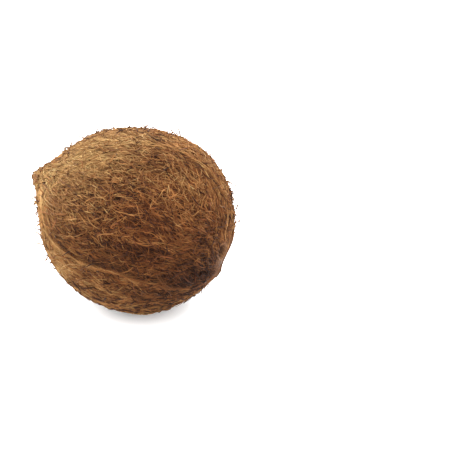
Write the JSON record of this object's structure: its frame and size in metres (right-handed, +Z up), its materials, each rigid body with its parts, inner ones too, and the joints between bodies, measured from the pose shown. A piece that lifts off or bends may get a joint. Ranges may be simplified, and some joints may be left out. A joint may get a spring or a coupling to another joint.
{
  "type": "coconut",
  "caption": "Whole husked coconut with a coat of matted coir, lying on its side, its pointed end raised and three eyes at its flatter end.",
  "frame": {"origin": "on the surface that the nut rests on, under the middle of its box", "axes": "+Z up; the nut's own axis lies in the XZ plane, with its pointed end towards -X and raised, and its eyes towards +X"},
  "size_m": [0.1222, 0.1158, 0.1103],
  "materials": {
    "coir": "rough matted fibre, golden brown over dark brown"
  },
  "bodies": {
    "root": {"coconut": "coir"}
  },
  "joints": []
}
